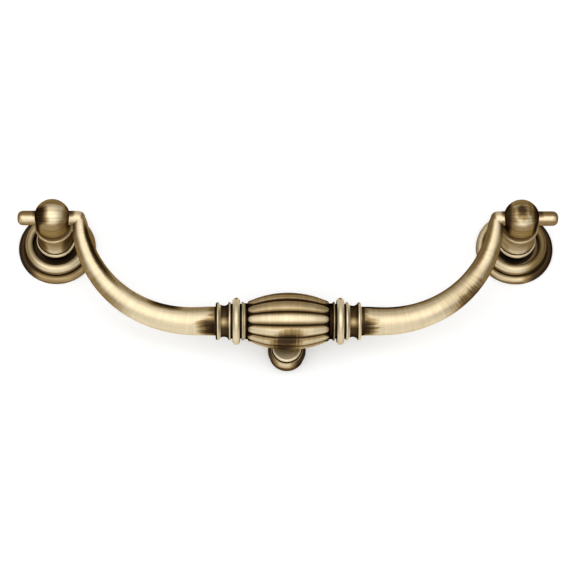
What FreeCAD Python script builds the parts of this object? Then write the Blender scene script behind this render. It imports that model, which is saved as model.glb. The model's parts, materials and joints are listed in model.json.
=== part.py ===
import FreeCAD, Part
import math
import os

# A bail pull for a drawer front: two turned posts stand in stepped rosettes, a cast bail swings on its own
# pins in the posts' heads, and its reeded middle comes to rest on a small stop button.
#
# Frame, in millimetres: z = 0 is the face of the drawer front and +Z points out of it, X runs along the two
# posts, the bail drops towards -Y, and the origin lies midway between the fixing holes.

V = FreeCAD.Vector
ORIGIN = V(0, 0, 0)
X_AXIS = V(1, 0, 0)
Z_AXIS = V(0, 0, 1)
FULL_TURN = 360

# Fixing
post_spacing = 128.0
screw_core_r = 1.65
post_screw_depth = 12.0
stop_screw_depth = 3.4
drill_point_angle = 118.0

# Rosette: a rim, a groove, a raised bead and a sunk seat for the post
rosette_r = 10.75
rim_edge_height = 0.4
groove_r = 8.95
groove_height = 1.45
bead_outer_r = 8.7
bead_inner_r = 6.4
bead_wall_top = 3.1
bead_height = 4.6
seat_height = 2.2

# Post, from its spigot up to the domed head
spigot_r = 3.4
spigot_clearance = 0.06
spigot_end_gap = 0.2
foot_r = 4.3
foot_height = 3.0
foot_ring_r = 5.35
foot_ring_height = 2.1
neck_end_r = 4.9
neck_waist_r = 4.65
neck_height = 8.0
lip_r = 5.2
lip_height = 0.8
band_waist_r = 4.5
band_end_r = 4.85
band_height = 2.4
head_r = 4.87
head_edge_round = 0.35
head_skirt = 2.5
head_rise = 0.8

# Bail: pins and arms
pin_r = 2.0
pin_clearance = 0.05
pin_overhang = 4.9
pin_end_round = 1.5
elbow_shift = 0.45
head_gap = 0.4
bail_side_shift = 0.3
bail_drop = 28.25
arm_start_r = 1.6
arm_end_r = 3.97
arm_swell_power = 0.47
arm_start_lean = 2.0
arm_start_handle = 14.5
arm_end_handle = 19.0
arm_run = 5.5
arm_station_count = 14
arm_station_crowding = 1.5

# Bail: the reeded melon and the turned collars beside it
reed_count = 12
melon_r = 7.82
melon_end_r = 5.3
melon_half_length = 11.1
reed_depth = 0.58
melon_tip_r = 4.75
melon_tip_round = 0.8
melon_station_count = 9
tip_station_count = 5
end_groove_r = 4.9
end_groove_width = 0.85
inner_bead_r = 5.3
inner_bead_width = 0.75
collar_gap_r = 4.75
collar_gap_width = 0.38
collar_r = 6.4
collar_shoulder_r = 5.6
collar_width = 2.05
outer_bead_r = 5.2
outer_bead_foot_r = 4.7
outer_bead_width = 0.85
cove_r = 4.25
cove_width = 2.3
fin_r = 5.15
fin_edge_r = 4.75
fin_width = 1.05

# Stop button
stop_lead = 4.73
stop_base_r = 4.75
stop_waist_r = 4.6
stop_rim_r = 5.2
stop_rim_height = 4.6
stop_rim_round = 0.8
stop_flare_height = 3.0
stop_groove_r = 4.15
stop_groove_depth = 0.45
stop_face_r = 3.9
stop_edge_round = 0.55
stop_height = 5.4
rest_gap = 0.05

# Places that follow from the sizes above
post_x = post_spacing / 2
ring_bottom = seat_height + foot_height
neck_bottom = ring_bottom + foot_ring_height
lip_bottom = neck_bottom + neck_height
band_bottom = lip_bottom + lip_height
head_bottom = band_bottom + band_height
pin_height = head_bottom + head_skirt
dome_base = pin_height + head_rise

# The bail leans back from the pins until the melon's crown meets the button's face.
rest_angle = math.asin((pin_height - melon_r - stop_height - rest_gap) / bail_drop)
# The button stands a little below the melon's middle, so that its edge shows under the bail.
stop_drop = bail_drop * math.cos(rest_angle) + stop_lead


def middle(a, b):
    return (a + b) / 2


def profile_face(steps, place):
    """Closed face from (radius, height) corners; a pair of corners is an arc through one to the other."""
    edges = []
    here = place(*steps[0])
    for step in steps[1:] + steps[:1]:
        is_arc = isinstance(step[0], tuple)
        there = place(*step[1]) if is_arc else place(*step)
        if is_arc:
            edges.append(Part.Arc(here, place(*step[0]), there).toShape())
        elif (there - here).Length > 0:
            edges.append(Part.LineSegment(here, there).toShape())
        here = there
    return Part.Face(Part.Wire(edges))


def edge_above(r, z, size):
    """Steps round a corner from a side wall on to a top face."""
    inset = size * (1 - math.sqrt(0.5))
    return [(r, z - size), ((r - inset, z - inset), (r - size, z))]


def edge_below(r, z, size):
    """Steps round a corner from an underside up on to a side wall."""
    inset = size * (1 - math.sqrt(0.5))
    return [(r - size, z), ((r - inset, z + inset), (r, z + size))]


def turned_upright(steps):
    """Solid turned about the Z axis."""
    face = profile_face(steps, lambda r, z: V(r, 0, z))
    return face.revolve(ORIGIN, Z_AXIS, FULL_TURN)


def turned_along_x(steps):
    """Solid turned about the X axis, with heights measured along it."""
    face = profile_face(steps, lambda r, x: V(x, r, 0))
    return face.revolve(ORIGIN, X_AXIS, FULL_TURN)


def screw_hole(mouth_z, depth):
    """Tapping-size hole with a drill point, going up from its mouth."""
    point_height = screw_core_r / math.tan(math.radians(drill_point_angle / 2))
    drill = Part.makeCylinder(screw_core_r, depth, V(0, 0, mouth_z), Z_AXIS)
    point = Part.makeCone(screw_core_r, 0, point_height, V(0, 0, mouth_z + depth), Z_AXIS)
    return drill.fuse(point).removeSplitter()


def make_rosette():
    bore_r = spigot_r + spigot_clearance
    bead_crest = (middle(bead_outer_r, bead_inner_r), bead_height)
    # The rim is one arc that leaves the side wall upright and comes down into the groove.
    rim_width = rosette_r - groove_r
    rim_arc_r = (rim_width ** 2 + (groove_height - rim_edge_height) ** 2) / (2 * rim_width)
    rim_shoulder = edge_above(rosette_r, rim_edge_height + rim_arc_r, rim_arc_r)[1][0]
    return turned_upright([
        (bore_r, 0),
        (rosette_r, 0),
        (rosette_r, rim_edge_height),
        (rim_shoulder, (groove_r, groove_height)),
        (bead_outer_r, groove_height),
        (bead_outer_r, bead_wall_top),
        (bead_crest, (bead_inner_r, bead_wall_top)),
        (bead_inner_r, seat_height),
        (bore_r, seat_height),
    ])


def make_post():
    half_dome = head_r * math.sqrt(0.5)
    head_corner, head_side = edge_below(head_r, head_bottom, head_edge_round)
    body = turned_upright([
        (0, spigot_end_gap),
        (spigot_r, spigot_end_gap),
        (spigot_r, seat_height),
        (foot_r, seat_height),
        (foot_r, ring_bottom),
        (neck_end_r, ring_bottom),
        ((foot_ring_r, middle(ring_bottom, neck_bottom)), (neck_end_r, neck_bottom)),
        ((neck_waist_r, middle(neck_bottom, lip_bottom)), (neck_end_r, lip_bottom)),
        ((lip_r, middle(lip_bottom, band_bottom)), (band_end_r, band_bottom)),
        ((band_waist_r, middle(band_bottom, head_bottom)), head_corner),
        head_side,
        (head_r, dome_base),
        ((half_dome, dome_base + half_dome), (0, dome_base + head_r)),
    ])
    pin_hole_r = pin_r + pin_clearance
    pin_hole = Part.makeCylinder(pin_hole_r, 2 * lip_r, V(-lip_r, 0, pin_height), X_AXIS)
    return body.cut(pin_hole).cut(screw_hole(spigot_end_gap, post_screw_depth))


def make_stop_button():
    groove_floor = stop_rim_height - stop_groove_depth
    body = turned_upright([
        (0, 0),
        (stop_base_r, 0),
        ((stop_waist_r, middle(0, stop_flare_height)), (stop_rim_r, stop_flare_height)),
        *edge_above(stop_rim_r, stop_rim_height, stop_rim_round),
        (stop_groove_r, stop_rim_height),
        (stop_groove_r, groove_floor),
        (stop_face_r, groove_floor),
        *edge_above(stop_face_r, stop_height, stop_edge_round),
        (0, stop_height),
    ])
    return body.cut(screw_hole(0, stop_screw_depth)).translated(V(0, -stop_drop, 0))


def barrel_r(x):
    """Crown radius of the melon at a distance from its middle: one arc from end to end."""
    rise = melon_r - melon_end_r
    arc_r = (melon_half_length ** 2 + rise ** 2) / (2 * rise)
    return melon_r - arc_r + math.sqrt(arc_r ** 2 - x ** 2)


def reeded_wire(x, crown):
    """Section of the melon: convex reeds that meet in sharp grooves, one crown facing straight out."""
    groove = crown * (1 - reed_depth / melon_r)
    pitch = 2 * math.pi / reed_count

    def spot(r, steps):
        return V(x, r * math.sin(steps * pitch), r * math.cos(steps * pitch))

    arcs = []
    for reed in range(reed_count):
        arc = Part.Arc(spot(groove, reed - 0.5), spot(crown, reed), spot(groove, reed + 0.5))
        arcs.append(arc.toShape())
    return Part.Wire(arcs)


def make_melon():
    """The reeded barrel between two rounded tips."""
    tip_x = melon_half_length - melon_tip_round
    tip_r = barrel_r(tip_x)
    spacing = 2 * tip_x / (melon_station_count - 1)
    stations = [-tip_x + spacing * i for i in range(melon_station_count)]
    barrel = Part.makeLoft([reeded_wire(x, barrel_r(x)) for x in stations], True, False)

    mid_arc = math.sqrt(0.5)
    tip_line = Part.Arc(
        V(tip_x, tip_r, 0),
        V(tip_x + melon_tip_round * mid_arc, melon_tip_r + (tip_r - melon_tip_r) * mid_arc, 0),
        V(melon_half_length, melon_tip_r, 0),
    ).toShape()
    spots = tip_line.discretize(tip_station_count)
    tip = Part.makeLoft([reeded_wire(spot.x, spot.y) for spot in spots], True, False)
    return barrel.fuse(tip).fuse(tip.mirror(ORIGIN, X_AXIS))


# Ends of the collar's rings, counted from the bail's middle outwards
end_groove_end = melon_half_length + end_groove_width
inner_bead_end = end_groove_end + inner_bead_width
inner_gap_end = inner_bead_end + collar_gap_width
collar_end = inner_gap_end + collar_width
outer_gap_end = collar_end + collar_gap_width
outer_bead_end = outer_gap_end + outer_bead_width
cove_end = outer_bead_end + cove_width
fin_end = cove_end + fin_width


def make_collar():
    """Rings between the melon and the arm: groove, bead, collar, bead, cove and fin."""
    return turned_along_x([
        (0, melon_half_length),
        (end_groove_r, melon_half_length),
        (end_groove_r, end_groove_end),
        ((inner_bead_r, middle(end_groove_end, inner_bead_end)), (end_groove_r, inner_bead_end)),
        (collar_gap_r, inner_bead_end),
        (collar_gap_r, inner_gap_end),
        (collar_shoulder_r, inner_gap_end),
        ((collar_r, middle(inner_gap_end, collar_end)), (collar_shoulder_r, collar_end)),
        (collar_gap_r, collar_end),
        (collar_gap_r, outer_gap_end),
        ((outer_bead_r, middle(outer_gap_end, outer_bead_end)), (outer_bead_foot_r, outer_bead_end)),
        ((cove_r, middle(outer_bead_end, cove_end)), (fin_edge_r, cove_end)),
        ((fin_r, middle(cove_end, fin_end)), (fin_edge_r, fin_end)),
        (0, fin_end),
    ])


def make_arm(start_x):
    """Round arm that swells from the elbow to the collar, along a curve that ends in a straight run."""
    lean = math.radians(arm_start_lean)
    start = V(start_x, 0, 0)
    bend_end = V(fin_end + arm_run, -bail_drop, 0)
    arm_end = V(middle(cove_end, fin_end), -bail_drop, 0)
    curve = Part.BezierCurve()
    curve.setPoles([
        start,
        start + V(-math.sin(lean), -math.cos(lean), 0) * arm_start_handle,
        bend_end + V(arm_end_handle, 0, 0),
        bend_end,
    ])
    bend = curve.toShape()
    length = bend.Length + (bend_end - arm_end).Length

    sections = []
    for i in range(arm_station_count):
        # Stations crowd towards the elbow, where the arm swells fastest.
        share = (i / (arm_station_count - 1)) ** arm_station_crowding
        along = share * length
        if along < bend.Length:
            at = bend.getParameterByLength(along)
            centre = bend.valueAt(at)
            forward = bend.tangentAt(at)
        else:
            centre = arm_end + X_AXIS * (length - along)
            forward = -X_AXIS
        radius = arm_start_r + (arm_end_r - arm_start_r) * share ** arm_swell_power
        circle = Part.Wire(Part.Circle(ORIGIN, Z_AXIS, radius).toShape())
        turn = FreeCAD.Rotation(Z_AXIS, forward.cross(Z_AXIS), forward, "ZXY")
        circle.Placement = FreeCAD.Placement(centre, turn)
        sections.append(circle)
    return Part.makeLoft(sections, True, False)


def make_pin(elbow_x):
    """Pin that starts in a ball, which is the elbow, and goes out through the post's head to a rounded end."""
    pin_end = post_x + head_r + pin_overhang
    half_ball = pin_r * math.sqrt(0.5)
    return turned_along_x([
        (0, elbow_x - pin_r),
        ((half_ball, elbow_x - half_ball), (pin_r, elbow_x)),
        *edge_above(pin_r, pin_end, pin_end_round),
        (0, pin_end),
    ])


def make_bail():
    """One casting, modelled flat with the pins on the X axis, then leant back on to the stop button."""
    start_x = post_x - head_r - head_gap - bail_side_shift - arm_start_r
    collar = make_collar().translated(V(0, -bail_drop, 0))
    half = make_pin(start_x + elbow_shift).fuse(make_arm(start_x)).fuse(collar)
    other_half = half.mirror(ORIGIN, X_AXIS)
    melon = make_melon().translated(V(0, -bail_drop, 0))
    bail = half.fuse(other_half).fuse(melon).removeSplitter()
    bail.rotate(ORIGIN, X_AXIS, math.degrees(rest_angle))
    bail.translate(V(bail_side_shift, 0, pin_height))
    return bail


os.makedirs("parts", exist_ok=True)
post = make_post()
rosette = make_rosette()
nodes = {
    "left_post": post.translated(V(-post_x, 0, 0)),
    "right_post": post.translated(V(post_x, 0, 0)),
    "left_rosette": rosette.translated(V(-post_x, 0, 0)),
    "right_rosette": rosette.translated(V(post_x, 0, 0)),
    "stop_button": make_stop_button(),
    "bail": make_bail(),
}
for name, shape in nodes.items():
    shape.exportStep("parts/" + name + ".step")
    box = shape.optimalBoundingBox(False)
    print(name, "solids", len(shape.Solids), "valid", shape.isValid(), "volume", round(shape.Volume, 1),
          "x", round(box.XMin, 2), round(box.XMax, 2), "y", round(box.YMin, 2), round(box.YMax, 2),
          "z", round(box.ZMin, 2), round(box.ZMax, 2))
print("pins at", round(pin_height, 3), "bail leans", round(math.degrees(rest_angle), 3), "degrees,",
      "button at", round(stop_drop, 3))
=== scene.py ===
# %% [markdown]
# # A bail pull in antique brass
# The pull is a drawer handle: two turned posts stand in stepped rosettes, a cast bail swings on pins in
# the posts' heads, and its reeded melon comes to rest on a small stop button. The solids already hold
# these shapes at their real size. They could be modelled again here, but then two models would have to be
# kept alike, so the packed pieces are used as they are and this lesson is about the finish: brass that
# was darkened all over with a brown patina and then rubbed bright again on its high spots.
# Much shade is painted into that colour as well, in the same mask as the patina.

# %% Load the frame
import json
import math

import bpy
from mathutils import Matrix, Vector


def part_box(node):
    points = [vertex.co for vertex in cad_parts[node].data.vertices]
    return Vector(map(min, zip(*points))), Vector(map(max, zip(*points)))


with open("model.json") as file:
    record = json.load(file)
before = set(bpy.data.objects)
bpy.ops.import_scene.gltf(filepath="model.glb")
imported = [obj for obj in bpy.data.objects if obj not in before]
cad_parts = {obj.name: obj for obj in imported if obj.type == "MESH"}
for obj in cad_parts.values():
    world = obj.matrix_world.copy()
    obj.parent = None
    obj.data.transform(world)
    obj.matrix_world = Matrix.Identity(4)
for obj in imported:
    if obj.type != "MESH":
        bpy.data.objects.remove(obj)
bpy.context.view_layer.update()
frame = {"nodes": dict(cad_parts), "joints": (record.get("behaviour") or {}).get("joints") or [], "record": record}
scene = bpy.context.scene
nodes = frame["nodes"]
mm = 0.001

print("nodes:", sorted(nodes))

# %% [markdown]
# ## Where things are
# A dark groove has to land on the right ring of a turning, so every pattern is measured from the middle
# of its own piece. These middles could be typed in, but the record already gives the screws, the button
# and the hinge, so they are read from there. Only the lean of the bail, which rests with its melon on the
# button, and the drop from its pins to the middle of the melon in millimetres are written here.

# %% Read the pieces' places from the record
mounts = {mount["name"]: Vector(mount["pos_m"]) for mount in frame["record"]["mounts"]}
post_x = mounts["right_post_thread"].x
button_y = mounts["stop_thread"].y
pin_z = frame["joints"][0]["pos_m"][2]
bail_low, bail_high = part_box("bail")
bail_x = (bail_low.x + bail_high.x) / 2
bail_lean = math.radians(15.88)
bail_drop = 28.25

print("posts at", round(post_x / mm, 2), "pins at", round(pin_z / mm, 2))
print("middle of the bail at", round(bail_x / mm, 3))

# %% [markdown]
# ## Camera
# The pull lies on its back and the camera looks down on it from the melon's side, from a little over 70
# cm away. A short lens from close by would make the melon too large for its posts, so a long lens is
# used. Its place, turn and focal length were fitted to the rosettes, the posts and the pins.

# %% Place the camera
frame_width = 36.0
camera_place = Vector((-9.44, -290.97, 671.10)) * mm
camera_turn = (22.583, -0.738, -0.259)
focal_length = 163.06
nearest_seen = 10 * mm

bpy.ops.object.select_all(action="DESELECT")
bpy.ops.object.camera_add(location=camera_place, rotation=[math.radians(turn) for turn in camera_turn])
camera = bpy.context.object
camera.name = "photo_camera"
camera.data.sensor_width = frame_width
camera.data.lens = focal_length
camera.data.clip_start = nearest_seen
scene.camera = camera
print("camera", [round(v / mm, 1) for v in camera.location])

# %% [markdown]
# ## A material that is built step by step
# A finish is a chain of small nodes, and most of them are sums on one number: how far a spot lies from an
# axis, or how much patina is left there. They could be wired by hand in the shader editor, but dozens of
# nodes are hard to follow there. A small class owns one material and adds its nodes, so a sum reads like
# a sum.


# %% Nodes and sums
class NodeChain:
    """One material, and the moves that add a sum to it."""

    def __init__(self, name):
        self.material = bpy.data.materials.new(name)
        self.material.use_nodes = True
        self.tree = self.material.node_tree
        self.tree.nodes.clear()

    def add(self, kind, inputs=(), **settings):
        """Adds a node, with its inputs given as plain values or as other nodes' outputs."""
        node = self.tree.nodes.new(kind)
        for key, value in settings.items():
            setattr(node, key, value)
        for socket, value in dict(inputs).items():
            if isinstance(value, bpy.types.NodeSocket):
                self.tree.links.new(value, node.inputs[socket])
            else:
                node.inputs[socket].default_value = value
        return node

    def calc(self, operation, a, b=0.0):
        """One sum on two numbers."""
        return self.add("ShaderNodeMath", {0: a, 1: b}, operation=operation).outputs[0]

    def plus(self, a, b):
        return self.calc("ADD", a, b)

    def minus(self, a, b):
        return self.calc("SUBTRACT", a, b)

    def times(self, a, b):
        return self.calc("MULTIPLY", a, b)

    def both(self, *masks):
        """1 only where every mask is 1."""
        result = masks[0]
        for other in masks[1:]:
            result = self.times(result, other)
        return result

    def most(self, *masks):
        """The strongest of several masks."""
        result = masks[0]
        for other in masks[1:]:
            result = self.calc("MAXIMUM", result, other)
        return result


print("sums:", [move for move in vars(NodeChain) if not move.startswith("_")])

# %% [markdown]
# ## Masks
# Patina never ends in a sharp line, so each mark is a soft mask from 0 to 1. A painted image could hold
# the marks, but it would blur close by and need unwrapping. A mask that is worked out from a measure
# keeps its detail at any distance. Below, a fade is written as (start, end), at times with the strengths
# at its two ends, and a zone as (low, high, soft edge).

# %% Soft masks and noise
noise_roughness = 0.55
noise_middle = 0.5


class MaskChain(NodeChain):
    """Turns measures into soft masks."""

    def ramp(self, measure, start, end, low=0.0, high=1.0):
        """Goes softly from low, where the measure is at start, to high, where it is at end."""
        inputs = {"Value": measure, "From Min": start, "From Max": end, "To Min": low, "To Max": high}
        return self.add("ShaderNodeMapRange", inputs, interpolation_type="SMOOTHSTEP").outputs[0]

    def band(self, measure, low, high, soft):
        """1 between low and high, fading to 0 over a soft edge outside them."""
        return self.both(self.ramp(measure, low - soft, low), self.ramp(measure, high + soft, high))

    def split(self, vector):
        return self.add("ShaderNodeSeparateXYZ", {"Vector": vector}).outputs

    def scaled(self, vector, share):
        inputs = {0: vector, "Scale": share}
        return self.add("ShaderNodeVectorMath", inputs, operation="SCALE").outputs["Vector"]

    def length(self, a, b):
        return self.calc("SQRT", self.plus(self.times(a, a), self.times(b, b)))

    def noise(self, vector, scale=1.0, detail=3.0, run=None):
        """Soft noise; with run given it changes fast along that measure and so draws streaks across it."""
        inputs = {"Vector": vector, "Scale": scale, "Detail": detail, "Roughness": noise_roughness}
        if run is None:
            return self.add("ShaderNodeTexNoise", inputs).outputs["Fac"]
        inputs["W"] = run
        return self.add("ShaderNodeTexNoise", inputs, noise_dimensions="4D").outputs["Fac"]

    def centred(self, noise):
        """Shifts noise so that it lies evenly above and below 0."""
        return self.minus(noise, noise_middle)


print("masks:", [move for move in vars(MaskChain) if not move.startswith("_")])

# %% [markdown]
# ## Places on a piece
# On a real pull every mark belongs to its own piece: a ring runs round the post, a groove along the
# melon. The masks could be measured in the room, but then they would slide over the bail when it swings.
# Object coordinates move with the piece, and a mapping node turns them into millimetres from the piece's
# middle.


# %% Places and facing
class Finish(MaskChain):
    """The finish of one piece, measured in that piece's own millimetres."""

    def __init__(self, name):
        super().__init__(name)
        self.object_place = self.add("ShaderNodeTexCoord").outputs

    def place(self, middle, lean=0.0):
        """Place in millimetres, measured from a piece's own middle and turned with its lean."""
        inputs = {
            "Vector": self.object_place["Object"],
            "Location": middle,
            "Rotation": (lean, 0, 0),
            "Scale": (mm, mm, mm),
        }
        return self.add("ShaderNodeMapping", inputs, vector_type="TEXTURE").outputs["Vector"]

    def facing(self, lean=0.0):
        """Which way the surface faces, turned with the piece's lean."""
        inputs = {"Vector": self.object_place["Normal"], "Rotation": (-lean, 0, 0)}
        return self.add("ShaderNodeMapping", inputs, vector_type="VECTOR").outputs["Vector"]


def give_finish(piece, material):
    """Puts a finished material on a packed piece."""
    nodes[piece].material_slots[0].material = material
    print(piece, "wears", material.name, "with", len(material.node_tree.nodes), "nodes")


print("places:", [move for move in vars(Finish) if not move.startswith("_")])

# %% [markdown]
# ## The brass itself
# Rubbed brass and patina could be two materials on two sets of faces, but on the real pull one fades into
# the other. So they are one metal, and a mask says how much patina is left, with painted shade added in the
# same mask: pale gold where it is rubbed off, then brown, then nearly black, which hardly reflects. The
# brush leaves fine streaks, which show as bump, as a change of gloss and as ragged edges of the patina.

# %% Brass with its patina and painted shade
rubbed_tone = (0.80, 0.695, 0.49, 1.0)
brown_tone = (0.32, 0.222, 0.100, 1.0)
dark_tone = (0.078, 0.048, 0.023, 1.0)
black_tone = (0.016, 0.0095, 0.0063, 1.0)
brown_at = 0.35
dark_at = 0.7
rubbed_patina = 0.07
rubbed_roughness = 0.49
patina_roughness = 0.50
streak_roughness = 0.12
streak_strength = 0.6
streak_height = 0.02 * mm
groove_depth = 0.2 * mm


def lay_brass(finish, patina_and_shade, streaks, streak_share, sunk=0.0):
    """Colours the metal by the patina and painted shade in its mask, brushes the surface and sinks its grooves."""
    brush = finish.centred(streaks)
    ragged = finish.plus(patina_and_shade, finish.times(brush, streak_share))
    tone = finish.add("ShaderNodeValToRGB", {"Fac": ragged})
    stops = tone.color_ramp.elements
    stops[0].color = rubbed_tone
    stops[1].color = black_tone
    stops.new(brown_at).color = brown_tone
    stops.new(dark_at).color = dark_tone

    roughness = finish.ramp(ragged, 0.0, 1.0, rubbed_roughness, patina_roughness)
    roughness = finish.plus(roughness, finish.times(brush, streak_roughness))
    brushed = finish.add("ShaderNodeBump", {
        "Height": streaks, "Strength": streak_strength, "Distance": streak_height,
    })
    cut = finish.add("ShaderNodeBump", {
        "Height": sunk, "Strength": 1.0, "Distance": groove_depth, "Normal": brushed.outputs["Normal"],
    }, invert=True)
    shader = finish.add("ShaderNodeBsdfPrincipled", {
        "Base Color": tone.outputs["Color"],
        "Specular Tint": tone.outputs["Color"],
        "Metallic": 1.0,
        "Roughness": roughness,
        "Normal": cut.outputs["Normal"],
    })
    finish.add("ShaderNodeOutputMaterial", {"Surface": shader.outputs["BSDF"]})
    return finish.material


print("brass from", rubbed_tone[:3], "to", black_tone[:3])

# %% [markdown]
# ## Brush marks
# Posts, rosettes and the button were turned on a lathe and brushed while they ran, so their streaks go
# round. Stretched noise could draw them, but stretching works along one axis only and these streaks
# follow circles. Noise with a fourth number does it: that number changes fast across the streaks, and the
# place hardly counts.

# %% Streaks and turned pieces
streak_stretch = 0.08
lathe_fineness = 1.2
wave_scale = 0.35


def brush_streaks(finish, run, fineness):
    """Streaks that lie across the way in which run grows."""
    return finish.noise(finish.scaled(finish.spot, streak_stretch), run=finish.times(run, fineness))


class TurnedFinish(Finish):
    """The finish of a turned piece, with the measures that its rings share."""

    def __init__(self, name, middle):
        super().__init__(name)
        self.spot = self.place(middle)
        self.x, self.y, self.z = self.split(self.spot)

    def from_axis(self):
        return self.length(self.x, self.y)

    def slow_wave(self):
        """A slow wave, which keeps a ring of patina from being perfectly round."""
        return self.centred(self.noise(self.spot, wave_scale))


print("streaks on turned pieces:", lathe_fineness, "per mm")

# %% [markdown]
# ## The neck of a post
# A post rises from its rosette with a ring at the foot, a slim neck and a lip under the head. Rubbing
# reaches the rings and misses the corners between them. Ambient occlusion could find those corners, but
# it needs many samples and finds more than the patina covers. The heights of the rings are known, so each
# one is a zone in millimetres over the back plane.
# The neck itself is painted with shade: darker towards the lip and down its sides.

# %% Patina and painted shade on the neck
neck_wave = 0.5
foot_corner_fade = (5.35, 5.05)
foot_corner_patina = 0.85
foot_line = (7.25, 7.45, 0.25)
neck_zone = (7.6, 15.0, 0.4)
neck_shade_rise = (7.5, 13.5, 0.10, 0.32)
neck_side_fade = (0.12, 0.72)
neck_side_share = 0.7
lip_line = (15.05, 15.3, 0.25)
lip_zone = (15.4, 16.2, 0.15)
lip_patina = 0.26
under_head_zone = (16.3, 18.2, 0.35)
under_head_patina = 0.62


class PostFinish(TurnedFinish):
    """The finish of a post, with the measures that its neck and head share."""

    def __init__(self, name, middle):
        super().__init__(name, middle)
        self.nx, self.ny, self.nz = self.split(self.facing())
        self.sideways = self.calc("ABSOLUTE", self.nx)
        self.wave = self.slow_wave()


def neck_patina(post, side_darkening):
    """Patina from the foot of the post up to its head, with painted shade on the neck towards the lip and down its
    sides.
    """
    height = post.plus(post.z, post.times(post.wave, neck_wave))
    foot_corner = post.times(post.ramp(height, *foot_corner_fade), foot_corner_patina)
    lines = post.most(post.band(height, *foot_line), post.band(height, *lip_line))
    lip = post.times(post.band(post.z, *lip_zone), lip_patina)
    under_head = post.times(post.band(height, *under_head_zone), under_head_patina)
    # Painted shade: darker down the sides of the neck and towards the lip.
    neck_side_shade = post.ramp(post.sideways, *neck_side_fade, 0.0, side_darkening * neck_side_share)
    neck = post.both(post.band(height, *neck_zone), post.most(post.ramp(post.z, *neck_shade_rise), neck_side_shade))
    return post.most(foot_corner, lines, lip, under_head, neck)


print("neck from", neck_zone[0], "to", neck_zone[1], "mm over the back")

# %% [markdown]
# ## The head of a post
# The head is a short drum under a dome, cross-drilled for the bail's pin. The dome is bright in front, and
# painted shade makes it darker down its sides, on its flanks and on its upper side; on the left it is also
# darker on the side that faces left. Paint strokes could follow that, but the way the surface faces already
# tells front from sides, so the masks use it.

# %% Painted shade on the head
head_fade = (18.4, 18.8)
head_side_width = 0.28
head_side_shade = 0.40
head_upper_fade = (-0.05, 0.52)
head_upper_shade = 0.33
flank_width = 0.46
left_side_wave = 0.35
left_side_fade = (-0.04, 0.64)
left_side_low = (-0.95, -0.55)
left_side_high = (0.60, 0.10)


def head_shade(post, side_darkening, flank_from, flank_shade_strength, shade_starts_at):
    """Painted shade down the sides, on the upper part and on the flanks of the head; darkest where it faces left.
    """
    # Painted shade: darker where the dome turns away from the front, on its upper side and on its flanks.
    side_shade = post.times(post.ramp(post.nz, shade_starts_at, shade_starts_at - head_side_width), head_side_shade)
    upper = post.times(post.ramp(post.ny, *head_upper_fade), head_upper_shade)
    flank_shade = post.times(post.ramp(post.sideways, flank_from, flank_from + flank_width), flank_shade_strength)
    # Darker on the side of the dome that faces left.
    to_left = post.minus(post.times(post.wave, left_side_wave), post.nx)
    left_side_dark = post.both(
        post.ramp(to_left, *left_side_fade),
        post.ramp(post.ny, *left_side_low),
        post.ramp(post.ny, *left_side_high),
        side_darkening,
    )
    return post.both(post.ramp(post.z, *head_fade), post.most(side_shade, upper, flank_shade, left_side_dark))


print("head from", head_fade[1], "mm over the back")

# %% [markdown]
# ## The spot on a dome
# Near the pole of the right dome is a dark spot, with a darker haze beside it. The streaks alone could
# break up the dome, but they are too fine for a spot of this size, so it is measured from its own middle
# and its edge is pushed about by a slow wave. Both posts use it, and the left one gives it no strength.

# %% The spot near the pole
pole_x = -0.10
pole_y = -0.1
pole_stretch = 0.66
pole_wave = 2.2
pole_fade = (2.7, 0.3)
haze_from_left = (0.2, 2.0)
haze_from_below = (-2.4, -0.8)
haze_strength = 0.52
dome_fade = (22.0, 24.0)


def pole_spot(post, pole_spot_strength):
    """A dark spot near the pole of a dome, with a darker haze beside it."""
    stretched = post.times(post.minus(post.y, pole_y), pole_stretch)
    off_pole = post.length(post.minus(post.x, pole_x), stretched)
    off_pole = post.plus(off_pole, post.times(post.wave, pole_wave))
    spot = post.ramp(off_pole, *pole_fade)
    haze = post.both(post.ramp(post.x, *haze_from_left), post.ramp(post.y, *haze_from_below), haze_strength)
    return post.both(post.most(spot, haze), post.ramp(post.z, *dome_fade), pole_spot_strength)


print("dome from", dome_fade[0], "mm over the back")

# %% [markdown]
# ## Both posts
# The two posts are the same turning, but they were rubbed by hand and their painted shade differs as well,
# so they didn't come out alike. Two unlike materials could be written, but one function with a few
# strengths keeps what they share in one place.
# The domes were brushed from side to side after turning, so their streaks are counted over the dome and
# on down the drum.

# %% The posts' finish
dome_base = 21.8
head_r = 4.87
head_fineness = 1.9
wall_share = 0.3
post_streak_share = 0.60


def over_the_head(post):
    """The way from the pole over the dome, and then slowly down the wall of the drum."""
    above = post.minus(post.z, dome_base)
    over_dome = post.times(post.calc("ARCTAN2", post.y, post.calc("MAXIMUM", above, 0.0)), head_r)
    down_wall = post.times(post.calc("SIGN", post.y), post.calc("MINIMUM", above, 0.0))
    return post.minus(over_dome, post.times(down_wall, wall_share))


def post_finish(name, middle, side_darkening, flank_from, flank_shade_strength, pole_spot_strength, shade_starts_at):
    """The finish of one post, with its own strengths of patina."""
    post = PostFinish(name, middle)
    patina_and_shade = post.most(
        rubbed_patina,
        neck_patina(post, side_darkening),
        head_shade(post, side_darkening, flank_from, flank_shade_strength, shade_starts_at),
        pole_spot(post, pole_spot_strength),
    )
    streaks = brush_streaks(post, over_the_head(post), head_fineness)
    return lay_brass(post, patina_and_shade, streaks, post_streak_share)


give_finish("left_post", post_finish(
    "left_post_brass", (-post_x, 0, 0),
    side_darkening=0.88, flank_from=0.46, flank_shade_strength=0.64, pole_spot_strength=0.0, shade_starts_at=0.82,
))
give_finish("right_post", post_finish(
    "right_post_brass", (post_x, 0, 0),
    side_darkening=0.44, flank_from=0.34, flank_shade_strength=0.82, pole_spot_strength=0.76, shade_starts_at=0.74,
))
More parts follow.
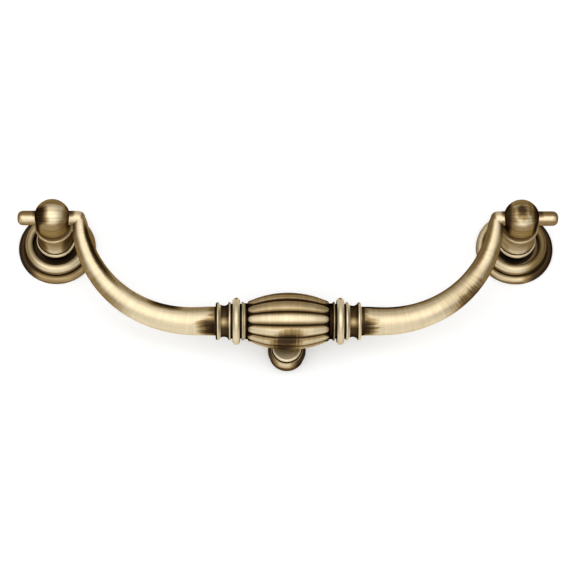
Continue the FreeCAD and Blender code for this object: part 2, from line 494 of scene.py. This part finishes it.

# %% [markdown]
# ## Rosettes
# A rosette is a stepped washer: a recess round the post, a bead, a groove and a flat rim. The recess and
# the groove stay dark, the bead is bright, and the outer side of each rosette is darkened with painted
# shade. A ring could be found by its height too, but a bead rises and falls within its width, so the
# distance from the axis tells the rings apart, and height only helps in the groove and on the bead's wall.

# %% The rosettes' finish
rosette_wave = 0.6
recess_outer = 0.75
recess_inner = 0.1
recess_patina = 0.86
rim_groove = (8.7, 8.98, 0.1)
rim_groove_height = (2.1, 1.6)
rim_groove_patina = 0.86
bead_wall = (8.5, 8.8, 0.2)
bead_wall_height = (3.5, 2.8)
bead_wall_shade = 0.30
rim_fade = (9.0, 9.3)
rim_edge_fade = (10.2, 10.8)
rim_edge_patina = 0.52
shade_width = 7.0
bead_to_rim = (8.4, 9.4)
shaded_rim_strength = 0.82
rosette_streak_share = 0.45


def rosette_finish(name, middle, shaded_side, shade_from, recess_r, rim_patina, shaded_bead_strength):
    """The finish of one rosette; one half, given as -1 or 1, is darkened with painted shade."""
    rosette = TurnedFinish(name, middle)
    radius = rosette.from_axis()
    reach = rosette.plus(radius, rosette.times(rosette.slow_wave(), rosette_wave))
    recess_fade = rosette.ramp(reach, recess_r + recess_outer, recess_r - recess_inner)
    recess = rosette.times(recess_fade, recess_patina)
    low_groove = rosette.ramp(rosette.z, *rim_groove_height)
    groove = rosette.both(rosette.band(radius, *rim_groove), low_groove, rim_groove_patina)
    # Painted shade on the bead's outer wall, which dims its reflection of the rim.
    low_wall = rosette.ramp(rosette.z, *bead_wall_height)
    wall = rosette.both(rosette.band(radius, *bead_wall), low_wall, bead_wall_shade)
    rim = rosette.times(rosette.ramp(radius, *rim_fade), rim_patina)
    rim_edge = rosette.times(rosette.ramp(reach, *rim_edge_fade), rim_edge_patina)
    # Painted shade: the outer side of the rosette is darker, on the bead and more on the rim.
    outer_side_shade = rosette.both(
        rosette.ramp(rosette.times(rosette.x, shaded_side), shade_from, shade_from + shade_width),
        rosette.ramp(radius, *bead_to_rim, shaded_bead_strength, shaded_rim_strength),
    )
    patina_and_shade = rosette.most(rubbed_patina, recess, groove, wall, rim, rim_edge, outer_side_shade)
    streaks = brush_streaks(rosette, rosette.plus(radius, rosette.z), lathe_fineness)
    return lay_brass(rosette, patina_and_shade, streaks, rosette_streak_share)


give_finish("left_rosette", rosette_finish(
    "left_rosette_brass", (-post_x, 0, 0),
    shaded_side=-1.0, shade_from=1.5, recess_r=6.3, rim_patina=0.36, shaded_bead_strength=0.26,
))
give_finish("right_rosette", rosette_finish(
    "right_rosette_brass", (post_x, 0, 0),
    shaded_side=1.0, shade_from=-0.8, recess_r=5.4, rim_patina=0.18, shaded_bead_strength=0.44,
))

# %% [markdown]
# ## Stop button
# The button has a domed top inside a raised ring, with a groove between them. It sits behind the melon,
# and shade is painted into its colour: the top shades off to the back, towards the melon, as a painted
# shadow, and the ring is dark on both sides of a painted highlight. It could share the rosettes' function,
# but its few rings lie elsewhere, so a short function of its own is easier to read.

# %% The button's finish
button_groove = (3.9, 4.15, 0.1)
button_groove_height = (5.0, 4.6)
button_groove_patina = 0.9
button_top_fade = (3.7, 3.3)
button_top_shade = (-3.2, 0.5, 0.06, 0.32)
button_ring_fade = (4.2, 4.5)
button_ring_highlight_x = -0.7
button_ring_shade = (1.0, 4.0, 0.20, 0.74)
button_wall_fade = (4.0, 2.6)
button_wall_patina = 0.6
button_streak_share = 0.45


def button_finish(name, middle):
    """The finish of the stop button, with a painted shadow on its domed face and painted shade on its ring."""
    button = TurnedFinish(name, middle)
    radius = button.from_axis()
    low_groove = button.ramp(button.z, *button_groove_height)
    groove = button.both(button.band(radius, *button_groove), low_groove, button_groove_patina)
    # Painted shadow: the domed face darkens towards the melon.
    top_shade = button.both(button.ramp(button.y, *button_top_shade), button.ramp(radius, *button_top_fade))
    # Painted shade: the ring darkens to its left and right, away from a painted highlight.
    off_highlight = button.calc("ABSOLUTE", button.minus(button.x, button_ring_highlight_x))
    ring = button.both(button.ramp(radius, *button_ring_fade), button.ramp(off_highlight, *button_ring_shade))
    wall = button.times(button.ramp(button.z, *button_wall_fade), button_wall_patina)
    patina_and_shade = button.most(groove, top_shade, ring, wall)
    streaks = brush_streaks(button, button.plus(radius, button.z), lathe_fineness)
    return lay_brass(button, patina_and_shade, streaks, button_streak_share)


give_finish("stop_button", button_finish("stop_button_brass", (0, button_y, 0)))

# %% [markdown]
# ## Measures along the bail
# The bail is one casting: a reeded melon in the middle, collars beside it, two bent arms, ball elbows and
# pins. It was brushed across its length, so its streaks run round the arm. A texture laid along a curve
# could follow the bend, but the arm is nearly an arc, so the turn round that arc's centre gives the way
# along it.

# %% Shared measures of the bail
arm_centre = 25.2
arm_bend_r = 30.0
elbow_x = 58.0
bail_fineness = 2.1
mottle_scale = 0.16
mottle_detail = 4.0
side_blend = 0.5


class BailFinish(Finish):
    """The bail's finish, with the measures that its masks share."""

    def __init__(self, name):
        super().__init__(name)
        self.spot = self.place((bail_x, 0, pin_z), bail_lean)
        self.x, self.y, self.z = self.split(self.spot)
        self.nx, self.ny, self.nz = self.split(self.facing(bail_lean))
        self.along = self.calc("ABSOLUTE", self.x)
        self.past_centre = self.calc("MAXIMUM", self.minus(self.along, arm_centre), 0.0)
        self.turn_in_arm = self.calc("ARCTAN2", self.times(self.y, -1.0), self.past_centre)
        self.from_middle = self.plus(self.y, bail_drop)
        self.turn = self.calc("ARCTAN2", self.from_middle, self.z)
        self.left = self.by_side(1.0, 0.0)
        self.right = self.by_side(0.0, 1.0)
        self.streaks = brush_streaks(self, self.way_along(), bail_fineness)
        self.brush = self.centred(self.streaks)
        self.mottle = self.centred(self.noise(self.spot, mottle_scale, mottle_detail))

    def by_side(self, on_left, on_right):
        """One strength on the left half of the bail and another on its right half."""
        return self.ramp(self.x, -side_blend, side_blend, on_left, on_right)

    def way_along(self):
        """The way from the middle of the bail, round the arm's bend and out along the pin."""
        inside = self.calc("MAXIMUM", self.minus(arm_centre, self.along), 0.0)
        beyond = self.calc("MAXIMUM", self.minus(self.along, elbow_x), 0.0)
        return self.plus(self.plus(self.times(self.turn_in_arm, arm_bend_r), inside), beyond)


print("arm bends round", arm_centre, "mm with a radius of", arm_bend_r, "mm")

# %% [markdown]
# ## The reeds of the melon
# Twelve round reeds run along the melon, and patina fills the grooves between them. At the reeds' round
# ends the grooves open up. Each groove could have its own mask, but they repeat round the melon, so a
# ping-pong of the turn gives the way from the nearest crown, 0 on a crown and 1 in a groove, and one mask
# serves all.

# %% Patina and painted shade on the reeds
reed_count = 12
melon_end = (11.3, 11.0)
groove_opens = (9.2, 13.2, 0.68, -0.55)
upper_groove_wider = (0.35, 0.9, 0.0, 0.16)
reed_groove_fade = (-0.06, 0.36)
reed_top_fade = (0.05, 0.55)
reed_top_shade = 0.30
reed_under_fade = (-0.45, -1.35)
reed_under_shade = 0.20
reed_tip_fade = (9.0, 11.3)
reed_tip_patina = 0.34
reed_flank_fade = (0.16, 0.80)
reed_flank_shade = 0.38


def way_off_crown(bail):
    """0 on the crown of each reed and 1 in the grooves beside it."""
    pitch = 2 * math.pi / reed_count
    return bail.times(bail.calc("PINGPONG", bail.turn, pitch / 2), 2 / pitch)


def reed_grooves(bail, off_crown):
    """The grooves between the reeds, a little wider on the upper side."""
    edge = bail.ramp(bail.along, *groove_opens)
    wider = bail.ramp(bail.turn, *upper_groove_wider)
    past_edge = bail.plus(bail.minus(off_crown, edge), wider)
    return bail.both(bail.ramp(bail.along, *melon_end), bail.ramp(past_edge, *reed_groove_fade))


def reed_shade_and_tips(bail, off_crown):
    """Painted shade on the reeds' upper and under sides and on their flanks, and patina on their round tips."""
    # Painted shade: reeds darker towards the top and the bottom of the melon and on each reed's flanks.
    top_shade = bail.times(bail.ramp(bail.turn, *reed_top_fade), reed_top_shade)
    side_shade = bail.times(bail.ramp(bail.turn, *reed_under_fade), reed_under_shade)
    tip = bail.times(bail.ramp(bail.along, *reed_tip_fade), reed_tip_patina)
    flank_shade = bail.times(bail.ramp(off_crown, *reed_flank_fade), reed_flank_shade)
    return bail.both(bail.ramp(bail.along, *melon_end), bail.most(top_shade, side_shade, tip, flank_shade))


print("reeds:", reed_count, "each", 360 / reed_count, "degrees")

# %% [markdown]
# ## The stain on the melon
# Low on the front of the melon the rubbing left a slanted dark stain. It could be a plain ellipse, but
# its edge would look drawn on, so brush marks and mottle are added to the way from its middle before the
# fade. It stays a little lighter on the crowns of the reeds.

# %% Stain
stain_x = 3.0
stain_y = -6.5
stain_slant = 0.59
stain_half_width = 5.3
stain_half_height = 4.2
stain_brush = 1.0
stain_mottle = 0.7
stain_fade = (1.34, 0.10)
stain_below = (-1.0, -2.4)
stain_over_reeds = (0.0, 0.6, 0.66, 0.88)


def melon_stain(bail, off_crown):
    """The slanted stain low on the melon."""
    middle_x = bail.plus(bail.times(bail.from_middle, stain_slant), stain_x)
    off_stain = bail.length(
        bail.times(bail.minus(bail.x, middle_x), 1 / stain_half_width),
        bail.times(bail.minus(bail.from_middle, stain_y), 1 / stain_half_height),
    )
    smudge = bail.plus(bail.times(bail.brush, stain_brush), bail.times(bail.mottle, stain_mottle))
    stain = bail.ramp(bail.plus(off_stain, smudge), *stain_fade)
    return bail.both(
        stain, bail.ramp(bail.from_middle, *stain_below), bail.ramp(off_crown, *stain_over_reeds),
    )


print("stain:", 2 * stain_half_width, "by", 2 * stain_half_height, "mm")

# %% [markdown]
# ## The collars
# Beads, a cove and a fin close the melon off from each arm, and the corners between them stay dark. As on
# the posts these are zones, here along the bail. On the real pull the rings sit a little to the right of
# the middle, so most zones are shifted with them, and those that fill a gap of the solids are not.
# The cove darkens away from a painted highlight, and up-facing collars and melon get painted shade.

# %% Patina and painted shade on the collars
ring_shift = 0.32
melon_end_groove = (11.05, 11.6, 0.2)
inner_bead_groove = (11.35, 11.92, 0.15)
inner_bead_zone = (12.0, 12.9, 0.15)
inner_bead_patina = 0.20
inner_gap = (12.72, 13.08, 0.15)
outer_gap = (15.14, 15.5, 0.15)
cove_zone = (16.45, 18.6, 0.15)
cove_highlight_turn = -0.18
cove_shade = (0.02, 0.45, 0.28, 0.76)
fin_foot_zone = (19.65, 20.3, 0.15)
fin_foot_patina = 0.85
collar_end = (20.0, 19.6)
upper_edge_facing = (0.80, 0.98)
upper_edge_shade_strength = 0.6


def collar_patina_and_shade(bail):
    """Patina in the corners of the collars, and painted shade on the cove round a painted highlight and on the
    upper edge of collars and melon.
    """
    off_rings = bail.calc("ABSOLUTE", bail.minus(bail.x, ring_shift))
    end_groove = bail.most(
        bail.band(bail.along, *melon_end_groove), bail.band(off_rings, *inner_bead_groove),
    )
    inner_bead = bail.times(bail.band(off_rings, *inner_bead_zone), inner_bead_patina)
    gaps = bail.most(bail.band(bail.along, *inner_gap), bail.band(bail.along, *outer_gap))
    # Painted shade: the cove darkens away from a painted highlight on its front.
    off_highlight = bail.calc("ABSOLUTE", bail.minus(bail.turn, cove_highlight_turn))
    cove = bail.both(bail.band(off_rings, *cove_zone), bail.ramp(off_highlight, *cove_shade))
    fin_foot = bail.times(bail.band(off_rings, *fin_foot_zone), fin_foot_patina)
    # Painted shade: surfaces of the collars and melon that face up are darker.
    facing_up = bail.ramp(bail.ny, *upper_edge_facing)
    upper_edge_shade = bail.both(bail.ramp(bail.along, *collar_end), facing_up, upper_edge_shade_strength)
    return bail.most(end_groove, inner_bead, gaps, cove, fin_foot, upper_edge_shade)


print("collars from", melon_end_groove[1], "to", fin_foot_zone[0], "mm from the middle")

# %% [markdown]
# ## Round the arm
# Along an arm the rubbing cut the patina into long bands, so it has to be known where round the arm a
# spot lies. A loft's own coordinates could tell, but a packed mesh has none. The way the surface faces,
# compared with the way out from the centre of the bend, gives it at every spot: 1 outside the bend and -1
# inside it.

# %% Outside and inside of the bend
grain_stretch = 0.12
grain_fineness = 7.0
arm_mottle = 0.35


def facing_out(bail):
    """How far the surface faces away from the centre of the bend, from -1 to 1."""
    mirrored_nx = bail.times(bail.nx, bail.calc("SIGN", bail.x))
    away = bail.plus(bail.times(mirrored_nx, bail.past_centre), bail.times(bail.ny, bail.y))
    return bail.calc("DIVIDE", away, bail.length(bail.past_centre, bail.y))


def arm_grain(bail, outward):
    """Fine streaks that run along the arm."""
    around = bail.times(bail.calc("ARCTAN2", outward, bail.nz), grain_fineness)
    return bail.centred(bail.noise(bail.scaled(bail.spot, grain_stretch), run=around))


def smeared_out(bail, outward):
    """The same measure with mottle in it, so that bands along the arm get uneven edges."""
    return bail.plus(outward, bail.times(bail.mottle, arm_mottle))


print("grain along the arm:", grain_fineness, "streaks for each radian round it")

# %% [markdown]
# ## Inside of the arms
# Inside the bend the colour is darkened with painted shade. The left arm has a nearly black band there,
# partly patina and partly painted shade, the right one a brown haze. One mask for both arms would be
# shorter, but the arms differ, so each side has its own strengths.

# %% Patina and painted shade inside the bend
upper_arm = (0.95, 0.35)
below_elbow = (0.02, 0.14, 0.35, 1.0)
left_band_start = (-0.16, -0.58)
left_band_end = (-0.92, -0.66, 0.40, 1.0)
left_band_patina_and_shade = 0.92
right_band_fade = (0.0, -0.6)
right_band_shade = 0.42
right_haze_fade = (0.20, -0.40)
right_haze_shade = 0.16
inner_side_fade = (-0.30, -0.80)
inner_side_shade = 0.30


def inside_patina_and_shade(bail, smeared):
    """Bands and haze inside the bend: painted shade, with patina as well in the left band."""
    upper = bail.ramp(bail.turn_in_arm, *upper_arm)
    elbow = bail.ramp(bail.turn_in_arm, *below_elbow)
    # The left band is partly patina and partly painted shade; the rest inside the bend is painted shade.
    left_band = bail.both(bail.ramp(smeared, *left_band_start), bail.ramp(smeared, *left_band_end))
    left_band = bail.both(bail.left, left_band, upper, elbow, left_band_patina_and_shade)
    right_band = bail.both(bail.right, bail.ramp(smeared, *right_band_fade), upper, right_band_shade)
    right_haze = bail.both(bail.right, bail.ramp(smeared, *right_haze_fade), right_haze_shade)
    inner_side = bail.times(bail.ramp(smeared, *inner_side_fade), inner_side_shade)
    return bail.most(left_band, right_band, right_haze, inner_side)


print("band inside the left arm:", left_band_patina_and_shade, "and inside the right arm:", right_band_shade)

# %% [markdown]
# ## The inner edge
# Close to the collars a dark line follows the inner edge of each arm. It could be part of the bands
# above, but it lies further round to the front, so it is found by how far the surface faces the front as
# well.

# %% The dark line along the inner edge
left_edge_zone = (1.18, 1.30, 0.26)
left_edge_patina = 0.74
right_edge_rise = (1.22, 1.40, 0.50, 0.80)
left_edge_reach = 0.70
right_edge_reach = 0.52
edge_inward = (-0.30, -0.52)
edge_from_back = (-0.45, 0.10)
edge_to_front = (0.26, -0.08)


def inner_edge(bail, smeared):
    """The line along the inner edge of each arm, close to the collars."""
    left_edge = bail.both(bail.left, bail.band(bail.turn_in_arm, *left_edge_zone), left_edge_patina)
    right_edge = bail.both(bail.right, bail.ramp(bail.turn_in_arm, *right_edge_rise))
    reach = bail.by_side(left_edge_reach, right_edge_reach)
    return bail.both(
        bail.ramp(smeared, *edge_inward),
        bail.ramp(bail.nz, *edge_from_back),
        bail.ramp(bail.minus(bail.nz, reach), *edge_to_front),
        bail.most(left_edge, right_edge),
    )


print("inner edge reaches", left_edge_reach, "on the left and", right_edge_reach, "on the right")

# %% [markdown]
# ## Outside of the arms
# The outside of the bend is darkened to golden brown with painted shade, and the right arm has a scuffed
# brown spot half way up. Beside each fin the patina ends in ragged streaks along the arm. A fade along the
# arm alone would end in a clean ring, so the grain is added to the way along before the fade.

# %% Painted shade and a scuff outside the bend, patina beside the fins
arm_start = (19.6, 20.0)
outer_edge_fade = (0.30, 0.75)
outer_edge_from = (1.15, 0.7)
left_outer_shade = 0.36
right_outer_shade = 0.42
scuff_brush = 1.2
scuff_zone = (0.64, 0.78, 0.25)
scuff_fade = (-0.1, 1.0)
scuff_patina = 0.60
scuff_haze_zone = (0.55, 0.85, 0.30)
scuff_haze_patina = 0.17
ragged_by = 7.0
fin_streak_fade = (25.8, 20.4)
fin_streak_top = (1.5, -1.3)
fin_streak_bottom = (-4.2, -3.2)
fin_streak_patina = 0.95
fin_shade_fade = (22.6, 20.0)
fin_shade_patina = 0.46


def outside_shade_and_scuff(bail, smeared):
    """Painted shade that darkens the outside of both arms to golden brown, and the scuffed spot on the right one.
    """
    from_elbow = bail.ramp(bail.turn_in_arm, *outer_edge_from)
    outer_shade_strength = bail.by_side(left_outer_shade, right_outer_shade)
    # Painted shade on the outer edge of each arm.
    outer_edge_shade = bail.both(bail.ramp(smeared, *outer_edge_fade), from_elbow, outer_shade_strength)
    scuffed = bail.plus(smeared, bail.times(bail.brush, scuff_brush))
    scuff_place = bail.band(bail.turn_in_arm, *scuff_zone)
    scuff = bail.both(bail.right, scuff_place, bail.ramp(scuffed, *scuff_fade), scuff_patina)
    haze = bail.both(bail.right, bail.band(bail.turn_in_arm, *scuff_haze_zone), scuff_haze_patina)
    return bail.most(outer_edge_shade, scuff, haze)


def fin_patina(bail, grain):
    """Ragged streaks and a soft shade on the arm beside each fin."""
    ragged_end = bail.plus(bail.along, bail.times(grain, ragged_by))
    lower_half = bail.both(
        bail.ramp(bail.from_middle, *fin_streak_top), bail.ramp(bail.from_middle, *fin_streak_bottom),
    )
    streaks = bail.both(bail.ramp(ragged_end, *fin_streak_fade), lower_half, fin_streak_patina)
    shade = bail.times(bail.ramp(ragged_end, *fin_shade_fade), fin_shade_patina)
    return bail.most(streaks, shade)


print("arms start", arm_start[1], "mm from the middle")

# %% [markdown]
# ## Pins
# The pins are painted with shade: bright along their crown and brown on both sides, and darkest on top
# where they enter the heads. Contact shade could come from the lamps alone, but here it is painted into
# the colour as well, in the same mask as the patina.

# %% Painted shade on the pins
pin_start = (57.6, 58.6)
pin_not_arm = (-2.6, -2.1)
left_pin_crown = 0.25
right_pin_crown = 0.13
pin_side_from = 0.05
left_pin_side_to = 0.70
right_pin_side_to = 0.55
pin_side_shade = 0.42
at_head_zone = (59.0, 69.2, 1.3)
at_head_facing = (-0.3, 0.5)
at_head_shade_strength = 0.66


def pin_shade(bail):
    """Painted shade on the sides of the pins, and over them where they enter the posts' heads."""
    on_pin = bail.ramp(bail.y, *pin_not_arm)
    off_crown = bail.calc("ABSOLUTE", bail.plus(bail.ny, bail.by_side(left_pin_crown, right_pin_crown)))
    side_fade = bail.ramp(off_crown, pin_side_from, bail.by_side(left_pin_side_to, right_pin_side_to))
    # Painted shade down both sides of each pin, away from its crown.
    side_shade = bail.both(bail.ramp(bail.along, *pin_start), side_fade, pin_side_shade)
    facing_up = bail.ramp(bail.ny, *at_head_facing)
    # Painted contact shade on the pins next to the heads.
    at_head_shade = bail.both(bail.band(bail.along, *at_head_zone), facing_up, at_head_shade_strength)
    return bail.both(on_pin, bail.most(side_shade, at_head_shade))


print("pins from", pin_start[1], "mm from the middle")

# %% [markdown]
# ## The whole bail
# All these marks meet on one casting, and where two of them lie on one spot the darker one shows. Adding
# them up would turn every overlap black, so the strongest mask wins. A little mottle goes over
# everything, and the reed grooves are sunk as bump too, which deepens the grooves that the solid already
# has.

# %% The bail's finish
bail_mottle = 0.12
grain_share = 0.5
bail_streak_share = 0.15


def bail_finish(name):
    """The finish of the whole bail."""
    bail = BailFinish(name)
    off_crown = way_off_crown(bail)
    grooves = reed_grooves(bail, off_crown)
    outward = facing_out(bail)
    smeared = smeared_out(bail, outward)
    grain = arm_grain(bail, outward)
    on_arm = bail.ramp(bail.along, *arm_start)
    arms = bail.both(on_arm, bail.most(
        inside_patina_and_shade(bail, smeared),
        inner_edge(bail, smeared),
        outside_shade_and_scuff(bail, smeared),
        fin_patina(bail, grain),
    ))
    patina_and_shade = bail.most(
        rubbed_patina,
        grooves,
        reed_shade_and_tips(bail, off_crown),
        melon_stain(bail, off_crown),
        collar_patina_and_shade(bail),
        arms,
        pin_shade(bail),
    )
    patina_and_shade = bail.plus(patina_and_shade, bail.times(bail.mottle, bail_mottle))
    scratches = bail.plus(bail.streaks, bail.both(on_arm, grain, grain_share))
    return lay_brass(bail, patina_and_shade, scratches, bail_streak_share, sunk=grooves)


give_finish("bail", bail_finish("bail_brass"))

# %% [markdown]
# ## Floor
# The pull lies on a white card that shows nothing but a soft shadow. A white world could stand in for it,
# but then nothing would catch the shadow. So the floor is a grey-white diffuse card with a glow added,
# and the glow shows only to the camera, in reflections and through clear pieces. The card lies a hair
# below the back of the pull, to keep the two flat faces from flickering into each other.

# %% White floor
floor_size = 3.0
floor_gap = 0.05 * mm
floor_tone = (0.78, 0.80, 0.83, 1.0)
glow_tone = (1.0, 1.0, 1.0, 1.0)
glow_strength = 0.285

bpy.ops.object.select_all(action="DESELECT")
bpy.ops.mesh.primitive_plane_add(size=floor_size, location=(0, 0, -floor_gap))
floor = bpy.context.object
floor.name = "white_floor"
paint = NodeChain("white_floor_paint")
paths = paint.add("ShaderNodeLightPath").outputs
seen = paint.most(paths["Is Camera Ray"], paths["Is Glossy Ray"], paths["Is Transmission Ray"])
card = paint.add("ShaderNodeBsdfDiffuse", {"Color": floor_tone})
glow = paint.add("ShaderNodeEmission", {"Color": glow_tone, "Strength": paint.times(seen, glow_strength)})
whole = paint.add("ShaderNodeAddShader", {0: card.outputs["BSDF"], 1: glow.outputs["Emission"]})
paint.add("ShaderNodeOutputMaterial", {"Surface": whole.outputs["Shader"]})
floor.data.materials.append(paint.material)
print("floor", floor_size, "m wide,", floor_gap / mm, "mm below the pull")

# %% [markdown]
# ## Light
# Brass shows what it mirrors, so the lamps are shaped for their reflections. A large soft box near the
# camera makes the broad cream highlight along the arms and on the domes, a low card in front lights the
# lower sides, as the picture shows them, and a card high at the back lights the upper ones. A picture of
# a room could do all this as a world, but three boxes can be moved one by one. The world itself is a dim
# warm grey, for all that the boxes leave out.

# %% Lamps and world
lamp_boxes = {
    "front_box": {"place": (-0.05, -0.20, 0.87), "size": (1.5, 1.25), "power": 10.2},
    "low_card": {"place": (-0.05, -0.90, 0.30), "size": (1.2, 0.4), "power": 1.8},
    "high_card": {"place": (0.0, 0.69, 0.58), "size": (1.2, 0.5), "power": 1.25},
}
lamp_aim = Vector((0, -12 * mm, 10 * mm))
room_tone = (0.27, 0.25, 0.21, 1.0)


def soft_lamp(name, place, size, power):
    """A soft box, so wide and so high, that faces the middle of the pull."""
    bpy.ops.object.light_add(type="AREA", location=Vector(place))
    lamp = bpy.context.object
    lamp.name = name
    lamp.data.shape = "RECTANGLE"
    lamp.data.size, lamp.data.size_y = size
    lamp.data.energy = power
    aim = lamp_aim - lamp.location
    lamp.rotation_euler = aim.to_track_quat("-Z", "Y").to_euler()
    print(name, "is", round(aim.length, 2), "m away with", power, "W")


for lamp_name, box in lamp_boxes.items():
    soft_lamp(lamp_name, **box)
world = bpy.data.worlds.new("studio")
scene.world = world
world.use_nodes = True
room = world.node_tree.nodes["Background"].inputs
room["Color"].default_value = room_tone
room["Strength"].default_value = 1.0
scene.view_settings.view_transform = "Standard"

# %% [markdown]
# ## Shape
# The finish adds no shape, so the pull is as large at the end as it was at the start.
